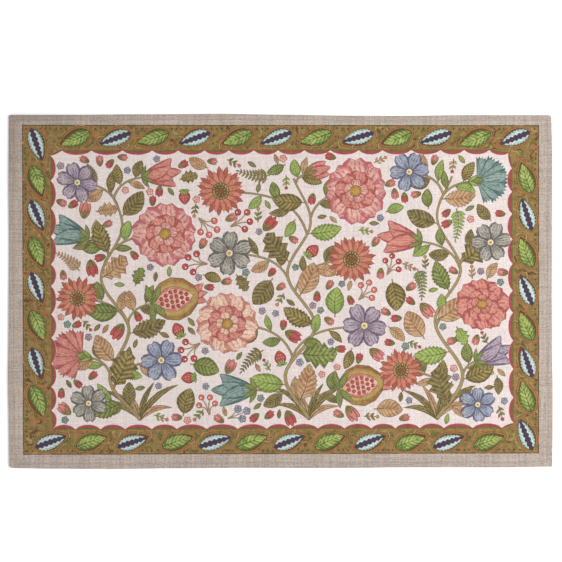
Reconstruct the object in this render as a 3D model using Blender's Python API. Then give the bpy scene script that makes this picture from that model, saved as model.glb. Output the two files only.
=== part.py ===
"""A linen table mat lying flat: one cut cloth whose raw edges are turned under twice and topstitched.

Units are metres, +Z is up and +X runs along the long side. The origin is the centre of the underside.
The front faces up, and the edge at +Y is the one that is furthest from the person who uses the mat.
The cloth is one piece, so it is one solid, without joints.
"""

import math

import bmesh
import bpy
from mathutils import Vector

MM = 0.001

# The hemmed size, 20 by 13 inches.
WIDTH = 508 * MM
DEPTH = 330 * MM

# One layer of the cloth, and the three layers of its hem pressed together.
PANEL_THICKNESS = 1.0 * MM
HEM_THICKNESS = 1.95 * MM

# The hem's width, the distance of its stitching from the edge, and how deep the thread pulls the cloth in.
HEM_WIDTH = 6.2 * MM
STITCH_LINE = 4.8 * MM
STITCH_PULL = 0.3 * MM

# Past the hem the cloth comes down to the table over this distance.
HEM_SETTLE = 5.0 * MM

# The edges aren't quite straight. What they stray dies away at this distance from them.
STRAY_REACH = 40 * MM

# Outline steps along a long side, along a short side and round a corner.
LONG_STEPS = 32
SHORT_STEPS = 21
CORNER_STEPS = 4
SMALLEST_RADIUS = 0.5 * MM

# Two corners were turned square and two softly. In order, counter-clockwise:
# name, side of the middle along X, side along Y, radius.
CORNERS = [
    ("lower left", -1, -1, 3.2 * MM),
    ("lower right", 1, -1, 0.7 * MM),
    ("upper right", 1, 1, 2.8 * MM),
    ("upper left", -1, 1, 0.9 * MM),
]

# How the edge strays. Rows: share of the side from its left or lower end,
# how far the edge lies outside its straight line in mm.
SIDES = {
    "top": [
        (0.00, 0.10),
        (0.12, 0.05),
        (0.24, 0.55),
        (0.40, 0.95),
        (0.50, 0.20),
        (0.64, -0.75),
        (0.72, -0.90),
        (0.84, -0.20),
        (1.00, -0.20),
    ],
    "bottom": [
        (0.00, 0.00),
        (0.08, 0.65),
        (0.18, 0.95),
        (0.30, 0.30),
        (0.42, -0.10),
        (0.58, 0.05),
        (0.75, -0.65),
        (0.90, -0.60),
        (1.00, -1.25),
    ],
    "left": [
        (0.00, -0.15),
        (0.10, 0.00),
        (0.25, 0.80),
        (0.38, 0.30),
        (0.64, -0.25),
        (0.82, 0.20),
        (1.00, -0.20),
    ],
    "right": [
        (0.00, 0.20),
        (0.14, 0.55),
        (0.22, 0.50),
        (0.36, -0.15),
        (0.56, -0.20),
        (0.86, 0.20),
        (1.00, -0.60),
    ],
}

LINEN = (0.43, 0.37, 0.32, 1.0)
LINEN_ROUGHNESS = 0.92


def smooth(share):
    """Ease from 0 to 1."""
    share = min(max(share, 0.0), 1.0)
    return share * share * (3 - 2 * share)


def along(side, share):
    """How far a side strays at a share of its length, eased between the rows of its table."""
    rows = SIDES[side]
    for before, after in zip(rows, rows[1:]):
        if share <= after[0]:
            eased = smooth((share - before[0]) / (after[0] - before[0]))
            return (before[1] + (after[1] - before[1]) * eased) * MM
    return rows[-1][1] * MM


def outline(inset):
    """The mat's rounded rectangle drawn in by inset, counter-clockwise from the lower left corner."""
    points = []
    for number, corner in enumerate(CORNERS):
        start = math.pi + number * math.pi / 2
        end = start + math.pi / 2
        for step in range(CORNER_STEPS):
            turn = start + (end - start) * step / (CORNER_STEPS - 1)
            points.append(corner_point(corner, inset, turn))
        here = points[-1]
        there = corner_point(CORNERS[(number + 1) % 4], inset, end)
        steps = LONG_STEPS if number % 2 == 0 else SHORT_STEPS
        points += [here.lerp(there, step / steps) for step in range(1, steps)]
    return points


def corner_point(corner, inset, turn):
    """A point on a corner's arc, at the angle turn."""
    _, side_x, side_y, radius = corner
    radius = max(radius - inset, SMALLEST_RADIUS)
    centre = Vector((side_x * (WIDTH / 2 - inset - radius), side_y * (DEPTH / 2 - inset - radius)))
    return centre + radius * Vector((math.cos(turn), math.sin(turn)))


def strayed(point, height):
    """A point of the true rectangle at its real place, moved with the edges that are within STRAY_REACH."""
    share_x = point.x / WIDTH + 0.5
    share_y = point.y / DEPTH + 0.5
    near_right = smooth(1 - (WIDTH / 2 - point.x) / STRAY_REACH)
    near_left = smooth(1 - (WIDTH / 2 + point.x) / STRAY_REACH)
    near_top = smooth(1 - (DEPTH / 2 - point.y) / STRAY_REACH)
    near_bottom = smooth(1 - (DEPTH / 2 + point.y) / STRAY_REACH)
    x = point.x + near_right * along("right", share_y) - near_left * along("left", share_y)
    y = point.y + near_top * along("top", share_x) - near_bottom * along("bottom", share_x)
    return Vector((x, y, height))


def section():
    """The hem in section, from the middle of the back to the middle of the front: (inset, height) rows."""
    hem, panel = HEM_THICKNESS, PANEL_THICKNESS
    step = hem - panel
    inner = HEM_WIDTH + HEM_SETTLE
    back = [
        (inner, 0.0),
        (HEM_WIDTH + 0.4 * HEM_SETTLE, 0.35 * step),
        (HEM_WIDTH, 0.75 * step),
        (HEM_WIDTH - 0.2 * MM, 0.0),
    ]
    fold = [
        (0.45 * hem, 0.0),
        (0.13 * hem, 0.15 * hem),
        (0.0, 0.5 * hem),
        (0.13 * hem, 0.85 * hem),
        (0.45 * hem, 0.98 * hem),
    ]
    front = [
        (0.5 * STITCH_LINE, hem),
        (0.8 * STITCH_LINE, hem - 0.5 * STITCH_PULL),
        (STITCH_LINE, hem - STITCH_PULL - 0.2 * step),
        (HEM_WIDTH - 0.6 * MM, hem - STITCH_PULL - 0.1 * step),
        (HEM_WIDTH + 0.4 * HEM_SETTLE, panel + 0.3 * step),
        (inner, panel),
    ]
    return back + fold + front


def build_cloth():
    """The hemmed cloth, a closed skin of rings carried round the mat from its back to its front."""
    mesh = bmesh.new()
    rings = []
    for inset, height in section():
        corners = [mesh.verts.new(strayed(point, height)) for point in outline(inset)]
        count = len(corners)
        rings.append([mesh.edges.new((corners[i], corners[(i + 1) % count])) for i in range(count)])
    for outer, inner in zip(rings, rings[1:]):
        bmesh.ops.bridge_loops(mesh, edges=outer + inner)
    for ring in (rings[0], rings[-1]):
        bmesh.ops.contextual_create(mesh, geom=ring)
    bmesh.ops.recalc_face_normals(mesh, faces=mesh.faces)
    data = bpy.data.meshes.new("mat")
    mesh.to_mesh(data)
    mesh.free()
    return data


def linen_material():
    """Natural flax cloth, matt and greyish beige."""
    material = bpy.data.materials.new("linen")
    material.use_nodes = True
    shader = material.node_tree.nodes["Principled BSDF"]
    shader.inputs["Base Color"].default_value = LINEN
    shader.inputs["Roughness"].default_value = LINEN_ROUGHNESS
    shader.inputs["Metallic"].default_value = 0.0
    return material


def main():
    for old in list(bpy.data.objects):
        bpy.data.objects.remove(old)
    data = build_cloth()
    data.materials.append(linen_material())
    data.shade_smooth()
    data.set_sharp_from_angle(angle=math.radians(40))
    bpy.context.scene.collection.objects.link(bpy.data.objects.new("mat", data))


main()
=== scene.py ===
import math
import random

import bpy
import numpy as np
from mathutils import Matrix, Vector
from mathutils.geometry import delaunay_2d_cdt


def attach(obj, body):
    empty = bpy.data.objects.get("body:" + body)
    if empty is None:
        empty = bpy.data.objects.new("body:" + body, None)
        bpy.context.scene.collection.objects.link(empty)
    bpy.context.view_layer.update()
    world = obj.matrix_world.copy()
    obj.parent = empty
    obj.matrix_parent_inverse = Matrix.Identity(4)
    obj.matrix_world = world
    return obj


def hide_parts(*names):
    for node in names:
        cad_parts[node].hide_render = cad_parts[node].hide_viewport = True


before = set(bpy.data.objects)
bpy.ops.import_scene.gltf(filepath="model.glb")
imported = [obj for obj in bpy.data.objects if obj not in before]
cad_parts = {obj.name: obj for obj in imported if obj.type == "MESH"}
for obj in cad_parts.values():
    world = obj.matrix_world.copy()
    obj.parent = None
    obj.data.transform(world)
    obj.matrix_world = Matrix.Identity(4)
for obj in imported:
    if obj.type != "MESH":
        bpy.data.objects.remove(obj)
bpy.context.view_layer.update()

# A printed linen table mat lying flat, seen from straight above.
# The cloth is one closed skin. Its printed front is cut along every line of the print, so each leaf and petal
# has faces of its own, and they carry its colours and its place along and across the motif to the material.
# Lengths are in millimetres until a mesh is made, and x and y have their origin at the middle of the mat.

MM = 0.001

# The cloth, as it is cut and hemmed.
WIDTH, DEPTH = 508.0, 330.0
PANEL_THICKNESS = 1.0
HEM_THICKNESS = 1.95
HEM_WIDTH = 6.2
HEM_SETTLE = 5.0
STITCH_LINE = 4.8
STITCH_PULL = 0.3
STRAY_REACH = 40.0

# Outline steps along a long side, along a short side and round a corner.
LONG_STEPS, SHORT_STEPS, CORNER_STEPS = 132, 86, 6
SMALLEST_RADIUS = 0.5

# Name of the corner, side of the middle along X and along Y, radius.
CORNERS = [
    ("lower left", -1, -1, 3.2),
    ("lower right", 1, -1, 0.7),
    ("upper right", 1, 1, 2.8),
    ("upper left", -1, 1, 0.9),
]

# Share of the side from its left or lower end, and how far the edge lies outside its straight line.
SIDES = {
    "top": [
        (0.00, 0.10), (0.12, 0.05), (0.24, 0.55), (0.40, 0.95), (0.50, 0.20),
        (0.64, -0.75), (0.72, -0.90), (0.84, -0.20), (1.00, -0.20),
    ],
    "bottom": [
        (0.00, 0.00), (0.08, 0.65), (0.18, 0.95), (0.30, 0.30), (0.42, -0.10),
        (0.58, 0.05), (0.75, -0.65), (0.90, -0.60), (1.00, -1.25),
    ],
    "left": [
        (0.00, -0.15), (0.10, 0.00), (0.25, 0.80), (0.38, 0.30), (0.64, -0.25), (0.82, 0.20), (1.00, -0.20),
    ],
    "right": [
        (0.00, 0.20), (0.14, 0.55), (0.22, 0.50), (0.36, -0.15), (0.56, -0.20), (0.86, 0.20), (1.00, -0.60),
    ],
}

# The printed rectangle: half its size, and where its corners lie on the cloth.
PRINT_X, PRINT_Y = 241.4, 153.8
PRINT_CORNERS = {
    "lower left": (-240.7, -152.7),
    "lower right": (241.8, -151.4),
    "upper left": (-241.7, 155.8),
    "upper right": (241.8, 155.5),
}


# The shape of the cloth

def smooth(share):
    """Ease from 0 to 1."""
    share = np.clip(share, 0.0, 1.0)
    return share * share * (3 - 2 * share)


def along(side, share):
    """How far a side strays at a share of its length, eased between the rows of its table."""
    rows = np.array(SIDES[side])
    row = np.clip(np.searchsorted(rows[:, 0], share) - 1, 0, len(rows) - 2)
    eased = smooth((share - rows[row, 0]) / (rows[row + 1, 0] - rows[row, 0]))
    return rows[row, 1] + (rows[row + 1, 1] - rows[row, 1]) * eased


def stray(x, y):
    """What points of the true rectangle move by, with the edges near them."""
    share_x, share_y = x / WIDTH + 0.5, y / DEPTH + 0.5
    near_right = smooth(1 - (WIDTH / 2 - x) / STRAY_REACH)
    near_left = smooth(1 - (WIDTH / 2 + x) / STRAY_REACH)
    near_top = smooth(1 - (DEPTH / 2 - y) / STRAY_REACH)
    near_bottom = smooth(1 - (DEPTH / 2 + y) / STRAY_REACH)
    move_x = near_right * along("right", share_y) - near_left * along("left", share_y)
    move_y = near_top * along("top", share_x) - near_bottom * along("bottom", share_x)
    return move_x, move_y


def front_height(x, y, inset):
    """Height of the front at points of the true rectangle that lie inset from its edge."""
    step = HEM_THICKNESS - PANEL_THICKNESS
    settled = smooth((inset - STITCH_LINE + 0.4) / (HEM_WIDTH + HEM_SETTLE - STITCH_LINE + 0.4))
    stitch = np.exp(-((inset - STITCH_LINE) / 0.75) ** 2)
    pucker = np.exp(-((inset - STITCH_LINE) / 3.2) ** 2) * 0.07
    pucker = pucker * (np.sin((x + y) / 1.9) + np.sin((x - y) / 3.1 + 1.0))
    crown = 0.12 * np.sin(np.pi * np.clip(inset / STITCH_LINE, 0, 1))
    inward = smooth((inset - 8) / 40)
    wave = 0.16 * np.sin(x / 31 + y / 47 + 0.6) * np.sin(y / 36 - x / 83) + 0.07 * np.sin(x / 13 - y / 17)
    return HEM_THICKNESS - step * settled - STITCH_PULL * stitch + pucker + crown + inward * wave


def corner_point(corner, inset, turn):
    """A point on a corner's arc, at the angle turn."""
    _, side_x, side_y, radius = corner
    radius = max(radius - inset, SMALLEST_RADIUS)
    x = side_x * (WIDTH / 2 - inset - radius) + radius * math.cos(turn)
    y = side_y * (DEPTH / 2 - inset - radius) + radius * math.sin(turn)
    return np.array((x, y))


def outline(inset):
    """The mat's rounded rectangle drawn in by inset, counter-clockwise from the lower left corner."""
    points = []
    for number, corner in enumerate(CORNERS):
        start = math.pi + number * math.pi / 2
        for step in range(CORNER_STEPS):
            points.append(corner_point(corner, inset, start + step / (CORNER_STEPS - 1) * math.pi / 2))
        here = points[-1]
        there = corner_point(CORNERS[(number + 1) % 4], inset, start + math.pi / 2)
        steps = LONG_STEPS if number % 2 == 0 else SHORT_STEPS
        points += [here + (there - here) * step / steps for step in range(1, steps)]
    return np.array(points)


def ring(inset, height=None):
    """A closed loop of the cloth's skin; without a height it lies on the front."""
    points = outline(inset)
    move_x, move_y = stray(points[:, 0], points[:, 1])
    if height is None:
        height = front_height(points[:, 0], points[:, 1], inset)
    z = np.broadcast_to(height, len(points))
    return np.column_stack((points[:, 0] + move_x, points[:, 1] + move_y, z))


def printed(points):
    """Where points of the print's own rectangle lie on the cloth."""
    right = (points[:, 0:1] / PRINT_X + 1) / 2
    up = (points[:, 1:2] / PRINT_Y + 1) / 2
    corner = {name: np.array(place) for name, place in PRINT_CORNERS.items()}
    lower = corner["lower left"] * (1 - right) + corner["lower right"] * right
    upper = corner["upper left"] * (1 - right) + corner["upper right"] * right
    return lower * (1 - up) + upper * up


# Drawing

# Paints of the print. Columns: first and second colour (sRGB), then where the second comes in:
# towards the tip (minus: towards the base), in streaks along, in side veins, along the rim, in blotches.
PAINTS = {
    # The linen's second colour is painted shade: it comes in at the stitched groove, on the hem and towards
    # the upper left.
    "linen": ((181, 166, 155), (136, 122, 113), 1.0, 0.0, 0.0, 0.0, 0.12),
    "ground": ((227, 213, 208), (217, 204, 200), 0.0, 0.0, 0.0, 0.0, 0.55),
    "band": ((146, 120, 70), (88, 78, 40), 0.0, 0.0, 0.0, 0.0, 1.6),
    "band light": ((168, 146, 88), (140, 118, 66), 0.0, 0.3, 0.0, 0.0, 0.8),
    "band edge": ((92, 72, 46), (66, 56, 34), 0.0, 0.0, 0.0, 0.0, 0.8),
    "band dark": ((104, 66, 38), (82, 56, 32), 0.0, 0.0, 0.0, 0.0, 0.6),
    "band green": ((116, 114, 54), (84, 88, 38), 0.0, 0.4, 0.0, 0.0, 0.7),
    "rust": ((176, 116, 74), (144, 90, 56), 0.0, 0.3, 0.0, 0.0, 0.9),
    "rim": ((160, 74, 78), (120, 48, 54), 0.0, 0.0, 0.0, 0.0, 1.0),
    "rim glow": ((214, 150, 146), (200, 128, 126), 0.0, 0.0, 0.0, 0.0, 0.5),
    "green ink": ((62, 78, 36), (84, 92, 48), 0.0, 0.0, 0.0, 0.0, 0.4),
    "bright leaf": ((178, 188, 104), (82, 106, 46), -0.25, 0.4, 0.6, 0.6, 1.0),
    "pale leaf": ((214, 222, 214), (136, 166, 164), 0.0, 0.3, 0.4, 0.55, 0.6),
    "plum": ((70, 54, 74), (46, 42, 54), 0.0, 0.3, 0.0, 0.3, 0.5),
    "brown ink": ((104, 72, 56), (128, 92, 66), 0.0, 0.0, 0.0, 0.0, 0.5),
    "red ink": ((138, 60, 58), (160, 84, 72), 0.0, 0.0, 0.0, 0.0, 0.5),
    "slate ink": ((72, 70, 84), (96, 92, 102), 0.0, 0.0, 0.0, 0.0, 0.4),
    "olive ink": ((88, 78, 42), (112, 98, 58), 0.0, 0.0, 0.0, 0.0, 0.5),
    "teal ink": ((52, 88, 84), (82, 112, 104), 0.0, 0.0, 0.0, 0.0, 0.5),
    "pink petal": ((231, 190, 174), (182, 98, 100), 0.45, 0.85, 0.0, 0.5, 0.6),
    "rose petal": ((212, 146, 130), (160, 76, 74), -0.3, 0.8, 0.0, 0.65, 0.7),
    "blush petal": ((230, 200, 178), (186, 112, 96), -0.3, 0.8, 0.0, 0.65, 0.7),
    "coral ray": ((206, 136, 110), (150, 78, 62), -0.4, 0.6, 0.0, 0.6, 0.8),
    "coral back": ((176, 100, 80), (126, 62, 52), -0.3, 0.5, 0.0, 0.5, 0.8),
    "blue petal": ((168, 172, 184), (88, 90, 118), -0.35, 0.9, 0.0, 0.65, 0.8),
    "lilac petal": ((184, 168, 176), (106, 86, 108), -0.35, 0.9, 0.0, 0.65, 0.8),
    "grey petal": ((180, 172, 158), (90, 88, 80), -0.35, 0.95, 0.0, 0.6, 0.8),
    "teal petal": ((146, 164, 154), (70, 98, 96), -0.3, 0.9, 0.0, 0.6, 0.8),
    "cream petal": ((234, 222, 188), (196, 166, 110), -0.4, 0.6, 0.0, 0.4, 0.3),
    "ochre": ((190, 148, 74), (132, 86, 44), 0.0, 0.0, 0.0, 0.5, 0.8),
    "seed brown": ((120, 84, 50), (84, 56, 36), 0.0, 0.0, 0.0, 0.4, 0.8),
    "green leaf": ((150, 156, 92), (92, 102, 48), -0.2, 0.35, 0.8, 0.5, 0.9),
    "olive leaf": ((164, 146, 92), (98, 84, 42), -0.2, 0.35, 0.85, 0.5, 0.9),
    "brown leaf": ((150, 104, 74), (206, 174, 132), -0.2, 0.2, 0.6, 0.0, 0.9),
    "dark leaf": ((92, 80, 46), (164, 148, 96), 0.0, 0.12, 0.55, 0.0, 0.8),
    "fresh leaf": ((170, 182, 104), (106, 130, 60), -0.2, 0.4, 0.7, 0.5, 0.7),
    "stem": ((158, 140, 98), (116, 96, 62), 0.0, 0.0, 0.0, 0.5, 0.6),
    "twig": ((172, 142, 112), (138, 106, 80), 0.0, 0.0, 0.0, 0.3, 0.6),
    "berry": ((186, 90, 82), (134, 48, 52), -0.4, 0.3, 0.0, 0.6, 0.6),
    "berry light": ((212, 128, 112), (164, 70, 66), -0.3, 0.3, 0.0, 0.6, 0.6),
    "glint": ((242, 216, 204), (232, 190, 178), 0.0, 0.0, 0.0, 0.0, 0.3),
    "fruit skin": ((190, 168, 96), (140, 92, 56), 0.3, 0.35, 0.0, 0.6, 0.5),
}

# Forms of leaves and petals. Columns: where it is widest (over 1 is nearer the tip), bluntness of the ends
# (smaller is blunter), teeth on a side, their depth, notch at the tip as a share of the length, points on a
# side where it has no teeth.
FORMS = {
    "lance": (0.9, 1.0, 0, 0.0, 0.0, 8),
    "oval": (0.9, 0.72, 0, 0.0, 0.0, 9),
    "saw": (0.88, 0.8, 8, 0.16, 0.0, 0),
    "lobed": (1.0, 0.62, 3, 0.36, 0.0, 0),
    "petal": (1.5, 0.62, 0, 0.0, 0.0, 8),
    "notched": (1.65, 0.6, 0, 0.0, 0.12, 8),
    "ray": (1.15, 0.75, 0, 0.0, 0.0, 5),
    "round": (1.0, 0.5, 0, 0.0, 0.0, 7),
    "beaded": (0.66, 0.46, 6, 0.4, 0.0, 0),
    "frayed": (0.76, 0.68, 9, 0.13, 0.0, 0),
    "band leaf": (0.76, 0.74, 8, 0.13, 0.0, 0),
    "halo": (0.8, 0.82, 0, 0.0, 0.0, 11),
}

# How wide the inked outline of a motif is.
INK_LINE = 0.42

# Everything that is uneven in the drawing comes from here, so that each run draws the same.
wobble = random.Random(11)


class Spot:
    """A place on the print and the way that is along from it."""

    def __init__(self, x, y, degrees):
        self.x, self.y, self.degrees = x, y, degrees
        self.cos, self.sin = math.cos(math.radians(degrees)), math.sin(math.radians(degrees))

    def moved(self, ahead, aside=0.0, turn=0.0):
        """The spot ahead and to the left of this one, turned by so many degrees."""
        x = self.x + self.cos * ahead - self.sin * aside
        y = self.y + self.sin * ahead + self.cos * aside
        return Spot(x, y, self.degrees + turn)

    def world(self, points):
        """Points of this spot's own axes, in the print's."""
        points = np.asarray(points, float)
        x = self.x + self.cos * points[:, 0] - self.sin * points[:, 1]
        y = self.y + self.sin * points[:, 0] + self.cos * points[:, 1]
        return np.column_stack((x, y))


def grown(points, distance):
    """A closed outline moved outward by distance."""
    area = np.sum(points[:, 0] * np.roll(points[:, 1], -1) - np.roll(points[:, 0], -1) * points[:, 1])
    way = np.roll(points, -1, axis=0) - np.roll(points, 1, axis=0)
    way /= np.maximum(np.linalg.norm(way, axis=1), 1e-9)[:, None]
    return points + np.column_stack((way[:, 1], -way[:, 0])) * distance * np.sign(area)


def smooth_path(points, steps):
    """A smooth curve through points, with so many steps between each two."""
    points = np.asarray(points, float)
    padded = np.vstack((2 * points[0] - points[1], points, 2 * points[-1] - points[-2]))
    path = []
    for a, b, c, d in zip(padded, padded[1:], padded[2:], padded[3:]):
        for t in np.arange(steps) / steps:
            square = (2 * a - 5 * b + 4 * c - d) * t**2
            cube = (3 * b - a - 3 * c + d) * t**3
            path.append(0.5 * (2 * b + (c - a) * t + square + cube))
    return np.array(path + [points[-1]])


def ribbon(path, first_width, last_width):
    """The outline of a stroke along a path that tapers from one width to the other."""
    way = np.gradient(path, axis=0)
    way /= np.maximum(np.linalg.norm(way, axis=1), 1e-9)[:, None]
    half = np.linspace(first_width, last_width, len(path))[:, None] / 2
    side = np.column_stack((-way[:, 1], way[:, 0])) * half
    return np.vstack((path - side, (path + side)[::-1]))


def blade_outline(length, width, form, bend=0.0):
    """A leaf or petal from its base at the origin to its tip at x = length."""
    fullness, blunt, teeth, depth, notch, steps = FORMS[form]
    if teeth:
        share = np.linspace(0, 1, 2 * teeth + 3)
        size = np.ones(len(share))
        size[1:-1:2] += depth * 0.35
        size[2:-1:2] -= depth
    else:
        share = (1 - np.cos(np.linspace(0, np.pi, steps))) / 2
        size = np.ones(len(share))
    half = width / 2 * np.sin(np.pi * share**fullness).clip(0) ** blunt * size
    x = share * length
    x[-1] -= notch * length
    middle = bend * length * 4 * share * (1 - share)
    left = np.column_stack((x, middle + half))
    right = np.column_stack((x, middle - half))
    return np.vstack((right, left[-2:0:-1]))


class Drawing:
    """The print's shapes in the order in which they are laid down, each with its own axes."""

    def __init__(self):
        self.outlines = []
        self.axes = []
        self.paints = []
        self.border_shapes = 0

    def lay(self, points, paint, axes=(0, 0, 1, 0, 0, 1, 1, 1, 0)):
        """One closed shape. axes: origin, cosine and sine of its way, length, width, form's two, bend."""
        self.outlines.append(points)
        self.axes.append(tuple(axes) + (wobble.uniform(-1, 1),))
        self.paints.append(paint)

    def blade(self, spot, length, width, form, paint, ink=None, bend=0.0, line=INK_LINE, rib=False):
        """A leaf or petal, with an inked outline and perhaps a midrib."""
        shape = spot.world(blade_outline(length, width, form, bend))
        if ink:
            self.lay(grown(shape, line), ink)
        fullness, blunt = FORMS[form][:2]
        self.lay(shape, paint, (spot.x, spot.y, spot.cos, spot.sin, length, width, fullness, blunt, bend))
        if rib:
            share = np.linspace(0.0, 0.86, 5)
            middle = np.column_stack((share * length, bend * length * 4 * share * (1 - share)))
            self.lay(ribbon(spot.world(middle), 0.032 * length, 0.1), ink)

    def disc(self, spot, radius, paint, ink=None, sides=9, line=INK_LINE):
        """A round shape about the spot."""
        turn = np.linspace(0, 2 * np.pi, sides, endpoint=False)
        circle = np.column_stack((np.cos(turn), np.sin(turn)))
        if ink:
            self.lay(spot.world(circle * (radius + line)), ink)
        start = spot.moved(-radius)
        axes = (start.x, start.y, spot.cos, spot.sin, 2 * radius, 2 * radius, 1, 0.5, 0)
        self.lay(spot.world(circle * radius), paint, axes)

    def stroke(self, path, first_width, last_width, paint, ink=None, line=0.35):
        """A drawn line that tapers."""
        if ink:
            self.lay(ribbon(path, first_width + 2 * line, last_width + 2 * line), ink)
        self.lay(ribbon(path, first_width, last_width), paint)


# Flowers, fruit and leaves of the field

def sepals(art, spot, turns, length, width, paint="green leaf", ink="olive ink", line=0.3):
    """Narrow leaves that spread from a spot."""
    for turn in turns:
        art.blade(spot.moved(0, 0, turn), length, width, "lance", paint, ink, line=line)


def stamens(art, spot, reach, count, paint, ink):
    """Short filaments with a dot at the end of each."""
    for number in range(count):
        arm = spot.moved(0, 0, 360 * number / count + wobble.uniform(-6, 6))
        tip = reach * wobble.uniform(0.85, 1.1)
        art.stroke(arm.world([(reach * 0.3, 0), (tip * 0.6, 0), (tip, 0)]), 0.45, 0.3, ink)
        art.disc(arm.moved(tip), 0.62, paint, sides=6)


def peony(art, spot, size, paint, ink="red ink"):
    """A full rose-like head of three rows of petals, seen from above."""
    rows = [(8, 0.50, 0.40, 0.0, paint), (7, 0.31, 0.28, 22.0, "rose petal"), (5, 0.19, 0.18, 8.0, paint)]
    for count, reach, breadth, turn, colour in rows:
        for number in range(count):
            arm = spot.moved(0, 0, turn + 360 * number / count + wobble.uniform(-5, 5))
            length = size * reach * wobble.uniform(0.93, 1.07)
            art.blade(arm, length, size * breadth, "notched", colour, ink)
    art.disc(spot, size * 0.085, "ochre", "brown ink", sides=12)
    stamens(art, spot, size * 0.15, 13, "ochre", "brown ink")


def daisy(art, spot, size, paint="coral ray", ink="red ink"):
    """A head of many narrow rays in two layers round a seeded middle."""
    for layer, colour in ((0, "coral back"), (1, paint)):
        count = 15
        for number in range(count):
            arm = spot.moved(0, 0, (number + layer / 2) * 360 / count + wobble.uniform(-3, 3))
            length = size * (0.5 - 0.05 * layer) * wobble.uniform(0.94, 1.05)
            art.blade(arm, length, size * 0.125, "ray", colour, ink, line=0.34)
    art.disc(spot, size * 0.17, "olive leaf", "olive ink", sides=16)
    art.disc(spot, size * 0.125, "seed brown", sides=14)
    for number in range(8):
        art.disc(spot.moved(0, 0, number * 45).moved(size * 0.085), 0.55, "ochre", sides=6)
    for number in range(16):
        art.disc(spot.moved(0, 0, number * 22.5).moved(size * 0.15), 0.42, "cream petal", sides=5)


def star(art, spot, size, paint, ink="slate ink"):
    """A flat flower of six notched petals with dark lines from its throat."""
    for number in range(6):
        arm = spot.moved(0, 0, number * 60 + wobble.uniform(-5, 5))
        length = size * 0.5 * wobble.uniform(0.94, 1.06)
        art.blade(arm, length, size * 0.33, "notched", paint, ink)
        for turn in (-9, 0, 9):
            line = arm.moved(0, 0, turn).world([(1.2, 0), (length * 0.3, 0), (length * 0.62, 0)])
            art.stroke(line, 0.5, 0.15, ink)
    art.disc(spot, size * 0.075, "cream petal", ink, sides=9)
    art.disc(spot, size * 0.035, "ochre", sides=7)


def tulip(art, spot, size, paint, ink):
    """A cup of pointed petals seen from the side, opening ahead."""
    for turn in (-24, 24):
        art.blade(spot.moved(0, 0, turn), size * 0.86, size * 0.34, "oval", paint, ink, bend=-0.004 * turn)
    art.blade(spot, size * 0.98, size * 0.34, "oval", paint, ink)
    for turn in (-13, 13):
        arm = spot.moved(-0.5, 0, turn)
        art.blade(arm, size * 0.78, size * 0.3, "lance", paint, ink, bend=-0.006 * turn)
    sepals(art, spot.moved(-1), (-62, 62, -28, 28), size * 0.32, size * 0.1)


def fan_flower(art, spot, size, paint, ink):
    """A pink: wedge petals with a toothed end, spread out of a green cup."""
    spread = [(-68, 0.78), (68, 0.78), (-46, 0.9), (46, 0.9), (-24, 0.98), (24, 0.98), (0, 1.0)]
    for turn, share in spread:
        arm = spot.moved(size * 0.16, 0, turn + wobble.uniform(-3, 3))
        reach = size * 0.74 * share
        half = math.radians(14)
        turns = np.linspace(-half, half, 9)
        radii = reach * (1 - 0.1 * (np.arange(9) % 2))
        rim = np.column_stack((radii * np.cos(turns), radii * np.sin(turns)))
        shape = arm.world(np.vstack(([[0, -0.4]], rim, [[0, 0.4]])))
        art.lay(grown(shape, INK_LINE), ink)
        art.lay(shape, paint, (arm.x, arm.y, arm.cos, arm.sin, reach, reach * 0.5, 1.4, 0.8, 0))
    art.blade(spot.moved(-size * 0.08), size * 0.36, size * 0.2, "oval", "green leaf", "olive ink")
    cup = spot.moved(-size * 0.06)
    sepals(art, cup, (-30, 30), size * 0.26, size * 0.08, "fresh leaf", line=INK_LINE)


def pomegranate(art, spot, size, paint="fruit skin", ink="brown ink"):
    """A split fruit with rows of seeds in its window and a crown at its end."""
    crown = spot.moved(size * 0.64)
    sepals(art, crown, (-28, 0, 28), size * 0.34, size * 0.15, "rose petal", "red ink", INK_LINE)
    art.blade(spot, size * 0.82, size * 0.74, "round", paint, ink, line=0.5)
    art.blade(spot.moved(size * 0.08), size * 0.64, size * 0.44, "oval", "blush petal", "red ink")
    for row in range(6):
        ahead = size * (0.18 + 0.088 * row)
        count = (2, 3, 4, 4, 3, 2)[row]
        for number in range(count):
            aside = (number - (count - 1) / 2) * size * 0.085
            art.disc(spot.moved(ahead, aside), size * 0.034, "berry", "red ink", sides=7, line=0.25)
    sepals(art, spot, (-50, 50, -95, 95), size * 0.34, size * 0.12)


# Berries on a twig. Columns: turn from the twig's own way, share of the twig's reach.
BERRY_STALKS = [(-38, 0.62), (34, 0.7), (-14, 0.9), (12, 1.0)]


def berries(art, spot, size, paint="berry"):
    """A small branched twig of round berries."""
    for turn, share in BERRY_STALKS:
        arm = spot.moved(0, 0, turn)
        reach = size * share
        path = smooth_path(arm.world([(0, 0), (reach * 0.5, -reach * 0.004 * turn), (reach * 0.8, 0)]), 4)
        art.stroke(path, 0.9, 0.6, "twig", "brown ink", line=0.22)
    for turn, share in BERRY_STALKS:
        head = spot.moved(0, 0, turn).moved(size * share * 0.8 + size * 0.1)
        art.disc(head, size * 0.125, paint, "red ink", sides=10)
        art.disc(head.moved(-size * 0.02, size * 0.04), size * 0.035, "glint", sides=6)
        art.disc(head.moved(size * 0.11), 0.5, "brown ink", sides=5)


def strawberry(art, spot, size):
    """A seeded berry under a green cap, hanging ahead."""
    art.blade(spot, size, size * 0.78, "oval", "berry", "red ink")
    for ahead, count in ((0.28, 3), (0.48, 4), (0.68, 2)):
        for number in range(count):
            aside = (number - (count - 1) / 2) * size * 0.17
            art.disc(spot.moved(size * ahead, aside), 0.42, "cream petal", sides=5)
    cap = spot.moved(-0.6)
    sepals(art, cap, (-75, -35, 0, 35, 75), size * 0.4, size * 0.15, "fresh leaf", "green ink")


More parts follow.
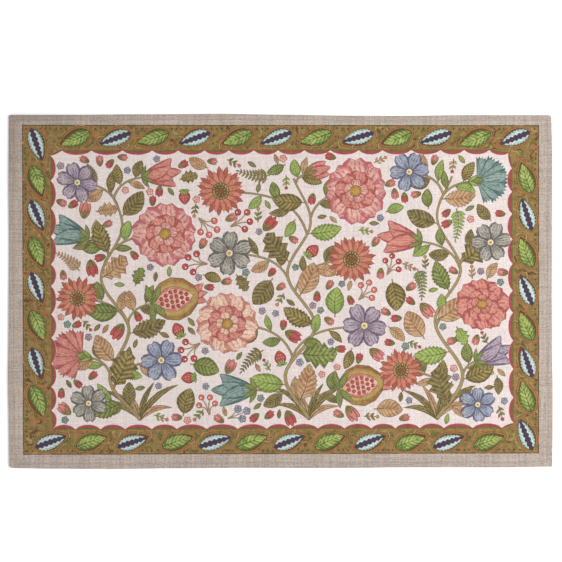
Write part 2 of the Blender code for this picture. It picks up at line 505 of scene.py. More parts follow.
def bud(art, spot, size, paint="rose petal", ink="red ink"):
    """A closed flower in its sepals."""
    for turn in (-16, 16, 0):
        art.blade(spot.moved(0, 0, turn), size * (0.92 if turn else 1.0), size * 0.38, "oval", paint, ink)
    sepals(art, spot.moved(-0.8), (-34, 34, 0), size * 0.55, size * 0.15, "olive leaf")


def fern(art, spot, size, paint="green leaf", ink="olive ink", bend=0.08):
    """A frond of paired leaflets that shorten to its tip."""
    share = np.linspace(0, 1, 9)
    path = spot.world(np.column_stack((share * size, bend * size * 4 * share * (1 - share))))
    art.stroke(path, 1.0, 0.35, "stem", ink, line=0.2)
    for number in range(1, 9):
        t = number / 9
        length = size * 0.3 * (1 - 0.72 * t)
        slope = math.degrees(math.atan(4 * bend * (1 - 2 * t)))
        joint = spot.moved(t * size, bend * size * 4 * t * (1 - t), slope)
        sepals(art, joint, (-58, 58), length, length * 0.36, paint, ink, 0.26)
    art.blade(spot.moved(size * 0.97), size * 0.1, size * 0.035, "lance", paint, ink, line=0.26)


def sprig(art, spot, size, paint="olive leaf", tip="berry"):
    """A short stalk with a few leaves and a bud at its end."""
    stalk = spot.world([(0, 0), (size * 0.4, size * 0.03), (size * 0.8, 0)])
    art.stroke(stalk, 0.8, 0.5, "stem", "olive ink", line=0.2)
    for ahead, turn in ((0.12, 48), (0.2, -48), (0.4, 42), (0.46, -42)):
        joint = spot.moved(size * ahead, 0, turn)
        art.blade(joint, size * 0.34, size * 0.13, "lance", paint, "olive ink", line=0.28)
    art.disc(spot.moved(size * 0.87), size * 0.105, tip, "red ink", sides=9, line=0.3)


def dotted_twig(art, spot, size, ink="brown ink", dot="slate ink"):
    """A fine forked twig with a dot at each end."""
    twig = spot.world([(0, 0), (size * 0.5, size * 0.04), (size * 0.9, 0)])
    art.stroke(twig, 0.7, 0.4, "twig", ink, line=0.12)
    art.disc(spot.moved(size * 0.94), 0.75, dot, sides=7)
    for ahead, turn, share in ((0.2, 44, 0.5), (0.34, -42, 0.46), (0.52, 40, 0.36), (0.64, -38, 0.28)):
        joint = spot.moved(size * ahead, 0, turn)
        reach = size * share
        bow = math.copysign(reach * 0.03, turn)
        art.stroke(joint.world([(0, 0), (reach * 0.5, bow), (reach, 0)]), 0.55, 0.35, ink)
        art.disc(joint.moved(reach), 0.7, dot, sides=7)


def posy(art, spot, size, paint, ink):
    """Three little five-petalled flowers on short stalks."""
    heads = [(0.62, 0.26), (0.66, -0.24), (0.98, 0.03)]
    for ahead, aside in heads:
        path = spot.world([(0, 0), (size * ahead * 0.5, size * aside * 0.3), (size * ahead, size * aside)])
        art.stroke(smooth_path(path, 3), 0.7, 0.45, "stem", "olive ink", line=0.18)
    for ahead, aside in heads:
        head = spot.moved(size * ahead, size * aside, wobble.uniform(0, 72))
        for number in range(5):
            art.blade(head.moved(0, 0, number * 72), size * 0.19, size * 0.16, "petal", paint, ink, line=0.28)
        art.disc(head, size * 0.045, "ochre", sides=6)


LEAF_BREADTHS = {"lance": 0.36, "oval": 0.52, "saw": 0.48, "lobed": 0.62}


def leaf(art, spot, length, form, paint, ink="olive ink", bend=0.05, breadth=None):
    """A single leaf on a short stalk."""
    breadth = breadth or LEAF_BREADTHS[form]
    art.stroke(spot.world([(0, 0), (length * 0.07, 0), (length * 0.14, 0)]), 0.9, 0.8, "stem", ink, line=0.2)
    art.blade(spot.moved(length * 0.12), length * 0.88, length * breadth, form, paint, ink, bend, rib=True)


# Branches of the field, from root to end.
BRANCHES = [
    [(-132, -121), (-160, -84), (-142, -36), (-168, 10), (-148, 58), (-162, 98)],
    [(26, -121), (4, -80), (32, -34), (6, 14), (28, 62), (12, 104)],
    [(146, -121), (170, -80), (144, -30), (168, 18), (146, 66), (160, 106)],
]

# The heads that the branches carry. Columns: branch, x, y, kind, size across, paint, ink.
HEADS = [
    (0, -190, 100, "star", 31, "lilac petal", "slate ink"),
    (0, -188, 50, "tulip", 32, "teal petal", "teal ink"),
    (0, -190, -8, "daisy", 33, "coral ray", "red ink"),
    (0, -188, -62, "fan", 33, "rose petal", "red ink"),
    (0, -180, -106, "star", 29, "grey petal", "slate ink"),
    (0, -118, 106, "tulip", 30, "rose petal", "red ink"),
    (0, -108, 52, "peony", 50, "pink petal", "red ink"),
    (0, -112, -12, "pomegranate", 44, "fruit skin", "brown ink"),
    (0, -112, -66, "star", 33, "blue petal", "slate ink"),
    (1, -56, 92, "daisy", 37, "coral ray", "red ink"),
    (1, -48, 34, "star", 35, "grey petal", "slate ink"),
    (1, -50, -32, "peony", 47, "blush petal", "red ink"),
    (1, -44, -94, "tulip", 34, "teal petal", "teal ink"),
    (1, 26, 108, "bud", 20, "rose petal", "red ink"),
    (1, 70, 92, "peony", 50, "pink petal", "red ink"),
    (1, 66, 28, "daisy", 36, "coral ray", "red ink"),
    (1, 78, -34, "star", 35, "lilac petal", "slate ink"),
    (1, 66, -92, "pomegranate", 42, "fruit skin", "brown ink"),
    (2, 120, 110, "star", 31, "blue petal", "slate ink"),
    (2, 116, 46, "tulip", 34, "rose petal", "red ink"),
    (2, 112, -76, "daisy", 33, "coral ray", "red ink"),
    (2, 190, 102, "fan", 31, "teal petal", "teal ink"),
    (2, 196, 44, "star", 32, "grey petal", "slate ink"),
    (2, 188, -14, "peony", 42, "rose petal", "red ink"),
    (2, 187, -66, "tulip", 31, "lilac petal", "slate ink"),
    (2, 184, -108, "star", 28, "blue petal", "slate ink"),
]

HEAD_KINDS = {
    "star": star,
    "tulip": tulip,
    "daisy": daisy,
    "fan": fan_flower,
    "peony": peony,
    "pomegranate": pomegranate,
    "bud": bud,
}

# How much larger than the tables say the heads and the branches' leaves are drawn.
HEAD_GROWTH, LEAF_GROWTH = 1.24, 1.3

# Kinds whose stalk ends at their base, not under their middle.
SIDE_VIEWS = ("tulip", "fan", "pomegranate", "bud")

# Leaves on the branches. Columns: branch, share of its length, which side, length, form, paint.
BRANCH_LEAVES = [
    (0, 0.08, 1, 26, "saw", "green leaf"),
    (0, 0.15, -1, 30, "lobed", "olive leaf"),
    (0, 0.27, 1, 24, "oval", "brown leaf"),
    (0, 0.38, -1, 28, "saw", "dark leaf"),
    (0, 0.47, 1, 25, "oval", "green leaf"),
    (0, 0.60, -1, 24, "lobed", "brown leaf"),
    (0, 0.70, 1, 26, "saw", "olive leaf"),
    (0, 0.84, -1, 24, "oval", "dark leaf"),
    (1, 0.06, -1, 30, "saw", "brown leaf"),
    (1, 0.16, 1, 26, "oval", "fresh leaf"),
    (1, 0.29, -1, 28, "lobed", "green leaf"),
    (1, 0.40, 1, 26, "saw", "olive leaf"),
    (1, 0.52, -1, 27, "oval", "brown leaf"),
    (1, 0.64, 1, 27, "lobed", "dark leaf"),
    (1, 0.76, -1, 25, "saw", "fresh leaf"),
    (1, 0.88, 1, 24, "oval", "olive leaf"),
    (2, 0.07, 1, 28, "lobed", "dark leaf"),
    (2, 0.17, -1, 25, "oval", "olive leaf"),
    (2, 0.28, 1, 27, "saw", "fresh leaf"),
    (2, 0.40, -1, 28, "oval", "brown leaf"),
    (2, 0.52, 1, 25, "saw", "green leaf"),
    (2, 0.63, -1, 28, "lobed", "olive leaf"),
    (2, 0.77, 1, 24, "oval", "dark leaf"),
    (2, 0.88, -1, 25, "saw", "brown leaf"),
]


# Strap leaves at the foot of each branch. Columns: heading, length, width, bend, paint.
TUFT = [
    (158, 34, 5.0, -0.16, "olive leaf"),
    (138, 44, 5.5, -0.12, "dark leaf"),
    (116, 36, 5.0, -0.08, "brown leaf"),
    (66, 38, 5.0, 0.08, "dark leaf"),
    (44, 46, 5.5, 0.12, "olive leaf"),
    (24, 33, 5.0, 0.16, "brown leaf"),
]


def heading(path, index):
    """Which way a path goes at one of its points, in degrees."""
    ahead = path[min(index + 1, len(path) - 1)] - path[max(index - 1, 0)]
    return math.degrees(math.atan2(ahead[1], ahead[0]))


def shoot_path(branch, x, y):
    """A side shoot that leaves the branch upward and swings over to a place beside it."""
    nearest = branch[np.argmin(np.abs(branch[:, 1] - (y - 0.42 * np.abs(branch[:, 0] - x) - 6)))]
    end = np.array((x, y), float)
    rise = np.array((0.15 * (x - nearest[0]), 0.45 * np.linalg.norm(end - nearest)))
    arrive = end - 0.3 * (end - nearest) * np.array((1.2, 0.2))
    t = np.linspace(0, 1, 13)[:, None]
    leaving = (1 - t) ** 3 * nearest + 3 * (1 - t) ** 2 * t * (nearest + rise)
    return leaving + 3 * (1 - t) * t**2 * arrive + t**3 * end


def draw_branches(art):
    """Stems first, then leaves on them, then the heads they carry."""
    branches = [smooth_path(points, 9) for points in BRANCHES]
    shoots = []
    for number, x, y, kind, size, paint, ink in HEADS:
        path = shoot_path(branches[number], x, y)
        if kind in SIDE_VIEWS:
            path = path[: -3]
        shoots.append(path)
        art.stroke(path, 1.7, 1.1, "stem", "olive ink")
    for path in branches:
        for degrees, length, width, bend, paint in TUFT:
            spot = Spot(path[0][0], path[0][1] - 1, degrees + wobble.uniform(-4, 4))
            length *= wobble.uniform(0.92, 1.08)
            art.blade(spot, length, width, "lance", paint, "olive ink", bend, rib=True)
        art.stroke(path, 3.0, 1.3, "stem", "brown ink")
    forms = ["lance", "oval", "saw"]
    colours = ["olive leaf", "green leaf", "brown leaf", "fresh leaf", "dark leaf"]
    for number, path in enumerate(shoots):
        for place, index in enumerate((3, 5, 7)):
            side = 1 if (place + number) % 2 else -1
            spot = Spot(*path[index], heading(path, index) + side * wobble.uniform(42, 58))
            length, colour = wobble.uniform(17, 23), colours[(number + 2 * place) % 5]
            leaf(art, spot, length, forms[(number + place) % 3], colour)
    for number, share, side, length, form, paint in BRANCH_LEAVES:
        path = branches[number]
        index = round(share * (len(path) - 1))
        spot = Spot(*path[index], heading(path, index) + side * wobble.uniform(48, 62))
        leaf(art, spot, length * LEAF_GROWTH, form, paint, bend=0.06 * side)
    for (_, x, y, kind, size, paint, ink), path in zip(HEADS, shoots):
        spot = Spot(x, y, wobble.uniform(0, 60))
        if kind in SIDE_VIEWS:
            spot = Spot(*path[-1], heading(path, len(path) - 1))
        HEAD_KINDS[kind](art, spot, size * HEAD_GROWTH, paint, ink)


# Smaller things between the branches, tried from the largest down. Columns: kind, room it needs round its
# middle, its size, how far behind the middle it starts, how many at most.
FILLERS = [
    ("broad leaf", 14.0, 29, 13.0, 14),
    ("fern", 13.0, 29, 13.5, 8),
    ("berries", 11.0, 22, 10.5, 12),
    ("posy", 11.0, 21, 11.0, 8),
    ("leaf", 9.2, 19, 9.0, 16),
    ("strawberry", 9.0, 14, 6.5, 5),
    ("bud", 8.0, 15.5, 7.0, 16),
    ("twig", 9.0, 21, 10.0, 14),
    ("sprig", 6.6, 14, 7.0, 40),
    ("small bud", 5.0, 9.5, 4.5, 60),
    ("small leaf", 4.8, 9, 4.5, 60),
    ("little flower", 4.2, 7, 0.0, 40),
]


# Where they are sown, and how many places are tried for each kind.
SOWN_X, SOWN_Y = (-212, 214), (-127, 127)
TRIES = 2600


def draw_filler(art, kind, spot, size, turn):
    """One small motif; turn counts through its colourings."""
    leaves = ["olive leaf", "green leaf", "brown leaf", "fresh leaf", "dark leaf"]
    paint = ("blue petal", "pink petal", "lilac petal", "teal petal")[turn % 4]
    ink = ("slate ink", "red ink", "slate ink", "teal ink")[turn % 4]
    if kind == "broad leaf":
        leaf(art, spot, size, "oval", leaves[(turn * 2) % 5], breadth=0.62)
    elif kind == "fern":
        fern(art, spot, size, leaves[(turn + 1) % 5], bend=0.08 * (-1) ** turn)
    elif kind == "strawberry":
        strawberry(art, spot, size)
    elif kind == "berries":
        berries(art, spot, size, ("berry", "berry light")[turn % 2])
    elif kind == "posy":
        posy(art, spot, size, paint, ink)
    elif kind == "leaf":
        leaf(art, spot, size, ("saw", "lobed", "oval")[turn % 3], leaves[(turn + 2) % 5])
    elif kind in ("bud", "small bud"):
        bud(art, spot, size, ("rose petal", "berry")[turn % 2])
    elif kind == "twig":
        dotted_twig(art, spot, size)
    elif kind == "sprig":
        sprig(art, spot, size, leaves[turn % 5], ("berry", "berry light", "ochre")[turn % 3])
    elif kind == "small leaf":
        art.blade(spot, size, size * 0.42, "lance", leaves[turn % 5], "olive ink", rib=True)
    else:
        for number in range(5):
            art.blade(spot.moved(0, 0, number * 72), size * 0.5, size * 0.4, "petal", paint, ink, line=0.26)
        art.disc(spot, size * 0.12, "ochre", sides=6)


def inside(x, y, outline_points):
    """Which points lie within a closed outline."""
    result = np.zeros(len(x), bool)
    first = outline_points
    last = np.roll(outline_points, -1, axis=0)
    rise = last[:, 1] - first[:, 1]
    lean = (last[:, 0] - first[:, 0]) / np.where(rise == 0, 1, rise)
    for start in range(0, len(x), 20000):
        px, py = x[start:start + 20000, None], y[start:start + 20000, None]
        crossed = (first[:, 1] > py) != (last[:, 1] > py)
        crossed &= px < first[:, 0] + (py - first[:, 1]) * lean
        result[start:start + 20000] = crossed.sum(axis=1) % 2 == 1
    return result


class Room:
    """Which square millimetres of the field are taken."""

    def __init__(self, art, field):
        self.left, self.low = -PRINT_X, -PRINT_Y
        columns, rows = int(2 * PRINT_X), int(2 * PRINT_Y)
        self.x, self.y = np.meshgrid(np.arange(columns) + 0.5 + self.left, np.arange(rows) + 0.5 + self.low)
        self.taken = ~inside(self.x.ravel(), self.y.ravel(), field).reshape(rows, columns)
        for shape in art.outlines[art.border_shapes:]:
            self.fill(shape)

    def window(self, low_x, high_x, low_y, high_y):
        columns = slice(max(int(low_x - self.left) - 1, 0), int(high_x - self.left) + 2)
        rows = slice(max(int(low_y - self.low) - 1, 0), int(high_y - self.low) + 2)
        return rows, columns

    def fill(self, shape):
        """Marks a shape's ground as taken."""
        part = self.window(shape[:, 0].min(), shape[:, 0].max(), shape[:, 1].min(), shape[:, 1].max())
        x, y = self.x[part], self.y[part]
        self.taken[part] |= inside(x.ravel(), y.ravel(), shape).reshape(x.shape)

    def free(self, x, y, radius):
        """Whether nothing lies within radius of a place."""
        part = self.window(x - radius, x + radius, y - radius, y + radius)
        near = (self.x[part] - x) ** 2 + (self.y[part] - y) ** 2 < radius**2
        return not (near & self.taken[part]).any()


def draw_fillers(art, field):
    """Sows small motifs into the room that is left, so that the ground shows evenly."""
    room = Room(art, field)
    for kind, reach, size, behind, most in FILLERS:
        count = 0
        for _ in range(TRIES):
            x, y = wobble.uniform(*SOWN_X), wobble.uniform(*SOWN_Y)
            degrees = wobble.uniform(0, 360)
            if count == most or not room.free(x, y, reach):
                continue
            before = len(art.outlines)
            spot = Spot(x, y, degrees).moved(-behind)
            draw_filler(art, kind, spot, size * wobble.uniform(0.92, 1.08), count)
            count += 1
            for shape in art.outlines[before:]:
                room.fill(shape)


# The border

# The field's scalloped edge, counter-clockwise from its upper left corner. Columns: which coordinate a row of
# cusps has in common, its value at the first cusp and at the last, how far the lobes between them stand into
# the field, how far the lobe to the next row does, the other coordinate of each cusp.
SCALLOPS = [
    ("x", -214.9, -214.2, 4.9, 4.6, [
        126.9, 103.6, 77.8, 51.3, 25.3, 5.2, -21.4, -43.3, -67.1, -89.0, -111.4,
    ]),
    ("y", -129.0, -127.5, 4.5, 0.9, [
        -213.2, -191.8, -168.2, -145.3, -120.4, -96.9, -69.1, -39.8, -12.8,
        8.9, 35.2, 59.9, 84.9, 107.3, 130.3, 152.8, 179.6, 207.0,
    ]),
    ("x", 218.0, 216.3, 4.6, 1.3, [
        -123.0, -99.3, -72.4, -46.0, -19.7, 0.7, 25.8, 48.6, 72.5, 93.3, 115.2,
    ]),
    ("x", 212.9, 212.9, 0.0, 3.2, [129.2]),
    ("y", 132.2, 131.6, 4.2, 0.7, [
        195.2, 171.6, 149.6, 122.2, 95.2, 73.3, 46.5, 22.4,
        -2.3, -25.1, -48.4, -71.1, -95.7, -119.9, -147.8, -176.8, -204.6,
    ]),
]
# Points on each lobe's edge.
LOBE_STEPS = 8

# The lines that follow the scallops, from the outermost. Columns: paint, how far outside the field it reaches
# at a cusp, and how much further at the middle of a lobe.
RIMS = [
    ("rust", 1.5, 4.6),
    ("band green", 1.1, 4.3),
    ("band dark", 0.9, 2.5),
    ("rim", 0.6, 2.5),
]

# The leaves that travel round the band, from one corner to the next: pale, green, pale and so on.
# Columns: heading, which coordinate the row has in common, its value, the other coordinate of each leaf.
BAND_LEAVES = [
    (200, "y", 143.5, [219.0, 182.4, 145.5, 108.5, 72.5, 33.5, -4.0, -40.5, -80.5, -118.5, -154.6, -191.9]),
    (290, "x", -227.8, [138.0, 103.3, 70.9, 37.0, 3.5, -31.7, -67.5, -102.1]),
    (20, "y", -140.5, [-214.8, -177.0, -137.8, -96.5, -61.5, -27.0, 8.5, 46.0, 84.0, 121.5, 157.3, 194.5]),
    (110, "x", 230.0, [-134.0, -98.7, -66.0, -32.0, 1.5, 36.5, 71.5, 105.9]),
]
BAND_LEAF_LENGTH, BAND_LEAF_WIDTH = 28.5, 13.6

# The pointed outlines round each of them, from the outermost: how far outside the leaf, paint.
HALOS = [(4.0, "rust"), (3.2, "band green"), (2.0, "rust"), (1.2, "band dark")]


def unprinted(points):
    """Where on the print's own rectangle points of the cloth lie."""
    return 2 * points - printed(points)


def field_outline():
    """The scalloped edge of the field, counter-clockwise from its upper left corner, and how far each of its
    points lies towards the middle of a lobe, from 0 to 1."""
    cusps, depths = [], []
    for shared, first, last, depth, next_depth, places in SCALLOPS:
        for level, place in zip(np.linspace(first, last, len(places)), places):
            cusps.append((level, place) if shared == "x" else (place, level))
        depths += [depth] * (len(places) - 1) + [next_depth]
    cusps = unprinted(np.array(cusps))
    points, swell = [], []
    for here, there, depth in zip(cusps, np.roll(cusps, -1, axis=0), depths):
        way = (there - here) / np.linalg.norm(there - here)
        inward = np.array((-way[1], way[0]))
        for share in np.arange(LOBE_STEPS) / LOBE_STEPS:
            bulge = (1 - (2 * share - 1) ** 2) ** 0.75
            points.append(here + (there - here) * share + inward * depth * bulge)
            swell.append(bulge * min(depth / 4, 1))
    return np.array(points), np.array(swell)[:, None]


def draw_band(art, field, swell):
    """The olive band, its scalloped red edge and the leaves that travel round it."""
    sheet = np.array([(-PRINT_X, -PRINT_Y), (PRINT_X, -PRINT_Y), (PRINT_X, PRINT_Y), (-PRINT_X, PRINT_Y)])
    art.lay(sheet, "band edge")
    art.lay(sheet * (1 - 0.9 / np.array((PRINT_X, PRINT_Y))), "band")
    spots = []
    for degrees, shared, level, places in BAND_LEAVES:
        for place in places:
            place = np.array([(place, level) if shared == "y" else (level, place)])
            spots.append(Spot(*unprinted(place)[0], degrees + wobble.uniform(-2, 2)))
    draw_band_flecks(art)
    for spot in spots:
        draw_band_ground(art, spot)
    for paint, near, more in RIMS:
        art.lay(grown(field, near + more * swell), paint)
    for number, spot in enumerate(spots):
        draw_band_leaf(art, spot, pale=number % 2 == 0)
    art.lay(grown(field, 0.15 + 0.3 * swell), "rim glow")
    art.lay(field, "ground")


# Brush marks in the band: how many, half the size of what they leave free, and the share that goes from there
# to the long sides.
FLECKS = 430
FREE_X, FREE_Y = 211, 125
TO_LONG_SIDES = 0.62
FLECK_PAINTS = ["band green", "rust", "band dark", "band light", "band green", "band dark"]

# Dots along the band's outer edge: how far they lie from it, from each other, and their radius.
DOT_INSET, DOT_PITCH, DOT_RADIUS = 3.4, 4.7, 1.05


def draw_band_flecks(art):
    """Short bent brush marks in several browns and greens all over the band, and dots along its edge."""
    for _ in range(FLECKS):
        x, y = wobble.uniform(-PRINT_X + 2, PRINT_X - 2), wobble.uniform(-PRINT_Y + 2, PRINT_Y - 2)
        if abs(x) < FREE_X and abs(y) < FREE_Y:
            x = math.copysign(wobble.uniform(FREE_X + 2, 239), x)
            if wobble.random() < TO_LONG_SIDES:
                x = wobble.uniform(-PRINT_X + 2, PRINT_X - 2)
                y = math.copysign(wobble.uniform(FREE_Y + 3, 151), y)
        length = wobble.uniform(5.0, 10.0)
        mark = Spot(x, y, wobble.uniform(0, 360))
        path = mark.world([(0, 0), (length * 0.5, length * 0.24), (length, 0)])
        art.stroke(path, wobble.uniform(1.8, 3.6), 0.7, wobble.choice(FLECK_PAINTS))
    edge_x, edge_y = PRINT_X - DOT_INSET, PRINT_Y - DOT_INSET
    for x in np.arange(-edge_x, edge_x, DOT_PITCH):
        for y in (-edge_y, edge_y):
            place = Spot(x + wobble.uniform(-0.7, 0.7), y + wobble.uniform(-0.5, 0.5), 0)
            art.disc(place, DOT_RADIUS, "band dark", sides=6)
    for y in np.arange(-edge_y, edge_y, DOT_PITCH):
        for x in (-edge_x, edge_x):
            place = Spot(x + wobble.uniform(-0.5, 0.5), y + wobble.uniform(-0.7, 0.7), 0)
            art.disc(place, DOT_RADIUS, "band dark", sides=6)


# Curls round a leaf of the band, from its base. Columns: ahead, aside, turn, length.
CURLS = [(24, 9.5, 200, 9), (33, 3.5, 245, 9), (30, -5.5, 150, 8), (10, -11, 175, 7), (4, 9.5, 15, 6)]

# Dots round it. Columns: ahead, aside.
DOTS = [(-6, 8.5), (1, 10.5), (14, 10.0), (28, 8.0), (33, -3.0), (20, -9.5), (-3, -8.5)]


def draw_band_ground(art, spot):
    """The pointed outlines round one leaf, with curls and dots about them."""
    back = spot.moved(-BAND_LEAF_LENGTH / 2)
    for distance, paint in HALOS:
        shape = blade_outline(BAND_LEAF_LENGTH + 2.6 * distance, BAND_LEAF_WIDTH + 2 * distance, "halo")
        art.lay(back.moved(-distance).world(shape), paint)
    for ahead, aside, turn, length in CURLS:
        curl = back.moved(ahead, aside, turn + wobble.uniform(-14, 14))
        path = smooth_path(curl.world([(0, 0), (length * 0.5, length * 0.22), (length, length * 0.05)]), 3)
        paint = wobble.choice(["band light", "band green", "rust", "band light"])
        art.stroke(path, 1.7, 0.5, paint, "band dark", line=0.35)
    for ahead, aside in DOTS:
        dot = back.moved(ahead + wobble.uniform(-2, 2), aside + wobble.uniform(-1, 1))
        art.disc(dot, wobble.uniform(0.55, 0.95), "band dark", sides=6)


def draw_band_leaf(art, spot, pale):
    """One leaf of the band: bright green and toothed, or pale with a dark rib."""
    back = spot.moved(-BAND_LEAF_LENGTH / 2, 0, wobble.uniform(-3, 3))
    length = BAND_LEAF_LENGTH * wobble.uniform(0.95, 1.04)
    if not pale:
        width, ink = BAND_LEAF_WIDTH, "green ink"
        art.blade(back, length, width, "band leaf", "bright leaf", ink, bend=0.03, line=0.45, rib=True)
        return
    art.blade(back, length, BAND_LEAF_WIDTH * 0.98, "frayed", "pale leaf", "green ink", line=0.55)
    art.blade(back.moved(-1.6), length * 1.08, 5.2, "beaded", "plum", "slate ink", line=0.3)
    for ahead in (0.24, 0.4, 0.56, 0.72):
        for side in (-1, 1):
            joint = back.moved(length * ahead, side * 1.0, side * 42)
            art.stroke(joint.world([(0, 0), (1.5, 0), (3.0, 0)]), 0.9, 0.25, "slate ink")


# From shapes to a mesh

def linear(colour):
    """An sRGB colour of 0 to 255 as linear light."""
    value = np.array(colour) / 255
    return np.where(value < 0.04045, value / 12.92, ((value + 0.055) / 1.055) ** 2.4)


# What the studio's light multiplies a colour by, about, at the middle of the mat.
STUDIO_LIGHT = 1.22


def dye(colour):
    """The colour that looks, in the studio's light, as the sRGB colour given."""
    return linear(colour) / STUDIO_LIGHT


def opaque(*colour):
    """The dye of an sRGB colour, with its alpha."""
    return (*dye(colour), 1)


def top_shapes(x, y, shapes):
    """The number of the last shape that holds each point, or -1."""
    order = np.argsort(x)
    sorted_x, sorted_y = x[order], y[order]
    found = np.full(len(x), -1)
    for number, shape in enumerate(shapes):
        first, last = np.searchsorted(sorted_x, (shape[:, 0].min(), shape[:, 0].max()))
        near = np.arange(first, last)
        part = sorted_y[first:last]
        near = near[(part > shape[:, 1].min()) & (part < shape[:, 1].max())]
        hit = near[inside(sorted_x[near], sorted_y[near], shape)]
        found[order[hit]] = number
    return found


def triangulate(points, edges):
    """Triangles that keep every edge; also which input point each corner was."""
    made = delaunay_2d_cdt([Vector(p) for p in points], edges, [], 0, 1e-4, True)
    places = np.array([tuple(p) for p in made[0]])
    return places, np.array(made[1]), np.array(made[2]), made[3]


def closed_edges(start, count):
    """Edges of a loop of points numbered from start."""
    return [(start + i, start + (i + 1) % count) for i in range(count)]


def print_mesh(rim, shapes, border_shapes):
    """The printed panel inside the rim: places, triangles and each triangle's shape.

    All outlines are cut into each other first. Then only the edges that part two shapes are kept, and what
    they enclose is cut up again.
    """
    points, edges = [tuple(p) for p in rim], closed_edges(0, len(rim))
    for shape in shapes:
        edges += closed_edges(len(points), len(shape))
        points += [tuple(p) for p in shape]
    places, cut_edges, faces, _ = triangulate(points, edges)
    parted = parting_edges(faces, owners_of(places, faces, shapes, border_shapes))
    grid_x, grid_y = np.meshgrid(np.arange(-240, 241, 10.0), np.arange(-150, 151, 10.0))
    grid = np.column_stack((grid_x.ravel(), grid_y.ravel()))
    used = np.unique(parted)
    renumber = np.full(len(places), -1)
    renumber[used] = np.arange(len(used)) + len(rim)
    points = np.vstack((rim, places[used], grid))
    edges = closed_edges(0, len(rim)) + [tuple(e) for e in renumber[parted].tolist()]
    places, _, faces, origins = triangulate(points, edges)
    middles = places[faces].mean(axis=1)
    faces = faces[inside(middles[:, 0], middles[:, 1], np.asarray(rim))]
    return places, faces, owners_of(places, faces, shapes, border_shapes), origins


def owners_of(places, faces, shapes, border_shapes):
    """Which shape paints each triangle; -1 outside the first, which is the whole print.

    The border's shapes come first and the field is the last of them. The others keep within the field.
    """
    x, y = places[faces].mean(axis=1).T
    owner = top_shapes(x, y, shapes[:border_shapes])
    owner[~inside(x, y, shapes[0])] = -1
    motif = top_shapes(x, y, shapes[border_shapes:])
    shown = (motif >= 0) & inside(x, y, shapes[border_shapes - 1])
    owner[shown] = motif[shown] + border_shapes
    return owner


def parting_edges(faces, owner):
    """The edges whose two triangles belong to different shapes."""
    sides = np.vstack((faces[:, (0, 1)], faces[:, (1, 2)], faces[:, (2, 0)]))
    sides.sort(axis=1)
    owners = np.tile(owner, 3)
    order = np.lexsort((sides[:, 1], sides[:, 0]))
    sides, owners = sides[order], owners[order]
    same = (sides[1:] == sides[:-1]).all(axis=1)
    return sides[:-1][same & (owners[1:] != owners[:-1])]


def make_drawing():
    """The whole print, its shapes laid where they lie on the cloth."""
    art = Drawing()
    field, swell = field_outline()
    draw_band(art, field, swell)
    art.border_shapes = len(art.outlines)
    draw_branches(art)
    draw_fillers(art, field)
    return art


def front_heights(places):
    """Heights of the front at points of the cloth."""
    move_x, move_y = stray(places[:, 0], places[:, 1])
    x, y = places[:, 0] - move_x, places[:, 1] - move_y
    return front_height(x, y, np.minimum(WIDTH / 2 - np.abs(x), DEPTH / 2 - np.abs(y)))


BACK_RINGS = [(11.2, 0.0), (8.2, 0.33), (6.2, 0.7), (6.0, 0.0), (3.4, 0.0)]
FRONT_INSETS = [1.6, 2.4, 3.2, 4.0, 4.5, 5.0, 5.6, 6.4]
PRINT_INSET = 7.4


def fold_rings():
    """Insets and heights round the folded edge, from the underside to the front."""
    turns = np.radians(np.linspace(-90, 90, 7))
    reach = 0.45 * HEM_THICKNESS
    return [(reach * (1 - math.cos(t)), HEM_THICKNESS / 2 * (1 + math.sin(t))) for t in turns]


def cloth_skin(art):
    """Vertices in mm, faces, and for each face its shape in the drawing: -1 plain linen, -2 the back."""
    shapes = [printed(shape) for shape in art.outlines]
    loops = [ring(inset, height) for inset, height in BACK_RINGS + fold_rings()]
    loops += [ring(inset) for inset in FRONT_INSETS + [PRINT_INSET]]
    count = len(loops[0])
    back = len(BACK_RINGS)
    faces, owner = [], []
    for level in range(len(loops) - 1):
        here, above = level * count, (level + 1) * count
        for i in range(count):
            j = (i + 1) % count
            faces += [(here + i, here + j, above + j), (here + i, above + j, above + i)]
        owner += [-2 if level < back else -1] * (2 * count)
    vertices = np.vstack(loops)
    rim = loops[-1][:, :2]
    places, inner, shape_of, origins = print_mesh(rim, shapes, art.border_shapes)
    heights = front_heights(places)
    renumber = np.arange(len(places)) + len(vertices)
    for number, sources in enumerate(origins):
        if sources and sources[0] < count:
            renumber[number] = (len(loops) - 1) * count + sources[0]
    faces += [tuple(f) for f in renumber[inner].tolist()]
    owner += shape_of.tolist()
    vertices = np.vstack((vertices, np.column_stack((places, heights))))
    return add_back(vertices, faces, owner, loops[0][:, :2])


def add_back(vertices, faces, owner, rim):
    """Closes the skin with the flat middle of the underside."""
    grid_x, grid_y = np.meshgrid(np.arange(-230, 231, 20.0), np.arange(-140, 141, 20.0))
    points = np.vstack((rim, np.column_stack((grid_x.ravel(), grid_y.ravel()))))
    places, _, inner, origins = triangulate(points, closed_edges(0, len(rim)))
    middles = places[inner].mean(axis=1)
    inner = inner[inside(middles[:, 0], middles[:, 1], rim)]
    renumber = np.arange(len(places)) + len(vertices)
    for number, sources in enumerate(origins):
        if sources and sources[0] < len(rim):
            renumber[number] = sources[0]
    faces += [tuple(f) for f in renumber[inner][:, ::-1].tolist()]
    owner += [-2] * len(inner)
    flat = np.column_stack((places, np.zeros(len(places))))
    return np.vstack((vertices, flat)), faces, np.array(owner)


